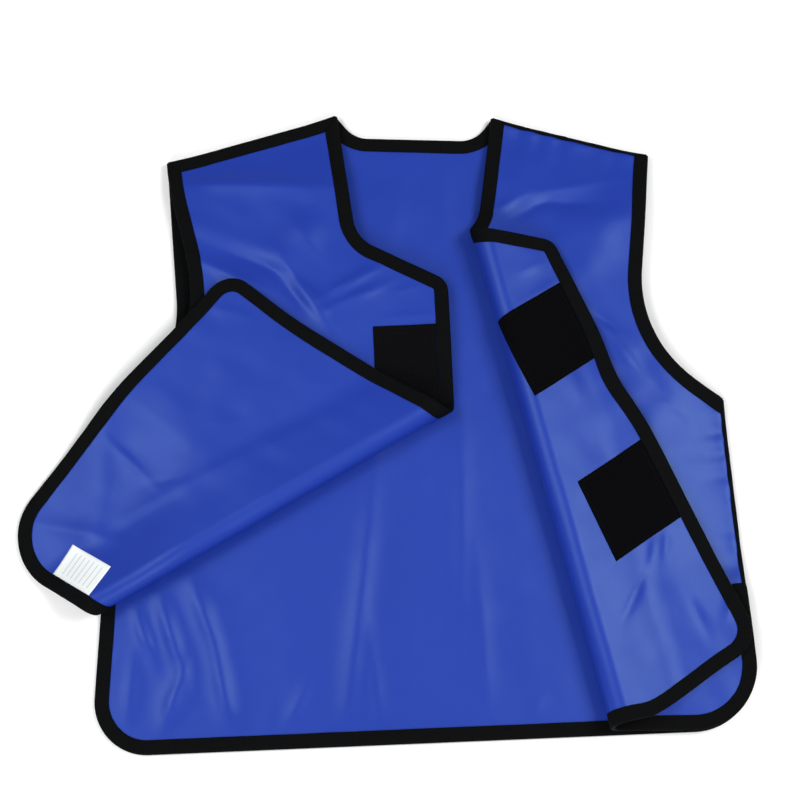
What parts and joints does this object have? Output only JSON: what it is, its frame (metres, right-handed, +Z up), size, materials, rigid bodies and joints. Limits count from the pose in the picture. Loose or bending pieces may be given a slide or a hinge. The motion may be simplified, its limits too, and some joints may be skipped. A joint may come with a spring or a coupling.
{
  "type": "x-ray lead vest",
  "caption": "Sleeveless leaded vest lying on its back with both front panels folded open, edges bound in black tape, hook and loop patches at the opening.",
  "frame": {"origin": "on the underside of the back panel, which lies on the floor, on the vest's centre line and midway between neck point and hem", "axes": "+Z up from the floor, +Y towards the neck, +X towards the wearer's left side"},
  "size_m": [0.6809, 0.6113, 0.038],
  "materials": {
    "blue_cloth": "royal blue coated nylon, semi-gloss",
    "black_tape": "black woven binding tape, matt",
    "hook_and_loop": "black hook and loop fastener, matt",
    "white_label": "white satin label, bare"
  },
  "bodies": {
    "root": {"back_panel": "blue_cloth", "right_front_panel": "blue_cloth", "left_front_panel": "blue_cloth", "back_neck_binding": "black_tape", "back_hem_binding": "black_tape", "right_back_armhole_binding": "black_tape", "left_back_armhole_binding": "black_tape", "right_front_edge_binding": "black_tape", "left_front_edge_binding": "black_tape", "right_front_armhole_binding": "black_tape", "left_front_armhole_binding": "black_tape", "right_shoulder_tape": "black_tape", "left_shoulder_tape": "black_tape", "right_side_tape": "black_tape", "left_side_tape": "black_tape", "upper_hook_patch": "hook_and_loop", "lower_hook_patch": "hook_and_loop", "loop_patch": "hook_and_loop", "care_label": "white_label"}
  },
  "joints": []
}
